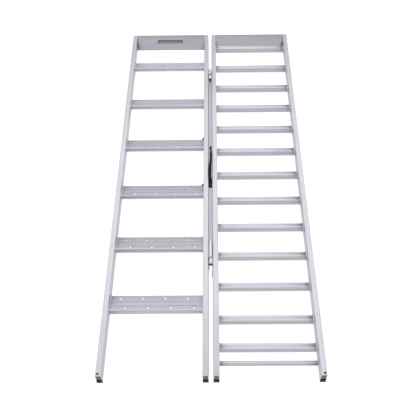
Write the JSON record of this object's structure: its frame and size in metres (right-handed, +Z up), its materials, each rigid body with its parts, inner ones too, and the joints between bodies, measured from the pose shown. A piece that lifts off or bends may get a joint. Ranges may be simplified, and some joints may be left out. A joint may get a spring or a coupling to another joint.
{
  "type": "folding loading ramp",
  "caption": "Folding loading ramp: a panel with wide tilted treads hinged to a panel with narrow rungs, with flat top plates, rubber feet and a carrying handle.",
  "frame": {"origin": "on the ground under the middle of the ramp when it is laid out flat", "axes": "+X across the ramp to the rung panel's side, +Y up the ramp from the feet to the top plates, +Z up"},
  "size_m": [0.965, 2.3464, 0.0765],
  "materials": {
    "rail_aluminium": "satin extruded, drawn lengthwise",
    "rung_aluminium": "satin extruded with gripping ridges",
    "tread_aluminium": "satin mill finish",
    "plate_aluminium": "dull mill finish",
    "strip_aluminium": "satin mill finish",
    "hinge_aluminium": "satin machined",
    "zinc_steel": "bright zinc",
    "black_steel": "black oxide",
    "black_rubber": "matt moulded",
    "black_webbing": "woven nylon"
  },
  "bodies": {
    "root": {"left_outer_rail": "rail_aluminium", "left_middle_rail": "rail_aluminium", "left_tread_1": "tread_aluminium", "left_tread_2": "tread_aluminium", "left_tread_3": "tread_aluminium", "left_tread_4": "tread_aluminium", "left_tread_5": "tread_aluminium", "left_tread_6": "tread_aluminium", "left_top_plate": "plate_aluminium", "left_tab_rivet_outer": "hinge_aluminium", "left_tab_rivet_middle": "hinge_aluminium", "left_foot_outer": "black_rubber", "left_foot_middle": "black_rubber", "left_foot_outer_screw": "black_steel", "low_hinge_left_leaf": "hinge_aluminium", "top_hinge_left_leaf": "hinge_aluminium", "low_hinge_pin": "black_steel", "top_hinge_pin": "black_steel", "left_low_hinge_rivet_1": "hinge_aluminium", "left_low_hinge_rivet_2": "hinge_aluminium", "left_top_hinge_rivet_1": "hinge_aluminium", "left_top_hinge_rivet_2": "hinge_aluminium", "centre_strip": "strip_aluminium", "centre_strip_bolt_1": "black_steel", "centre_strip_bolt_2": "black_steel", "handle_strap": "black_webbing", "handle_grip": "black_rubber", "handle_screw_1": "black_steel", "handle_screw_2": "black_steel"},
    "right_panel": {"right_middle_rail": "rail_aluminium", "right_outer_rail": "rail_aluminium", "right_rung_1": "rung_aluminium", "right_rung_2": "rung_aluminium", "right_rung_3": "rung_aluminium", "right_rung_4": "rung_aluminium", "right_rung_5": "rung_aluminium", "right_rung_6": "rung_aluminium", "right_rung_7": "rung_aluminium", "right_rung_8": "rung_aluminium", "right_rung_9": "rung_aluminium", "right_rung_10": "rung_aluminium", "right_rung_11": "rung_aluminium", "right_rung_12": "rung_aluminium", "right_rung_13": "rung_aluminium", "right_low_bar": "rung_aluminium", "right_top_plate": "plate_aluminium", "right_tab_rivet_middle": "hinge_aluminium", "right_tab_rivet_outer": "hinge_aluminium", "right_foot_middle": "black_rubber", "right_foot_outer": "black_rubber", "right_foot_outer_screw": "black_steel", "low_hinge_right_leaf": "hinge_aluminium", "top_hinge_right_leaf": "hinge_aluminium", "right_low_hinge_rivet_1": "hinge_aluminium", "right_low_hinge_rivet_2": "hinge_aluminium", "right_top_hinge_rivet_1": "hinge_aluminium", "right_top_hinge_rivet_2": "hinge_aluminium"}
  },
  "joints": [
    {"name": "panel_fold", "type": "hinge", "parent": "root", "child": "right_panel", "pos_m": [0, 0, 0.0685], "axis": [0, -1, 0], "range_deg": [0, 180]}
  ]
}
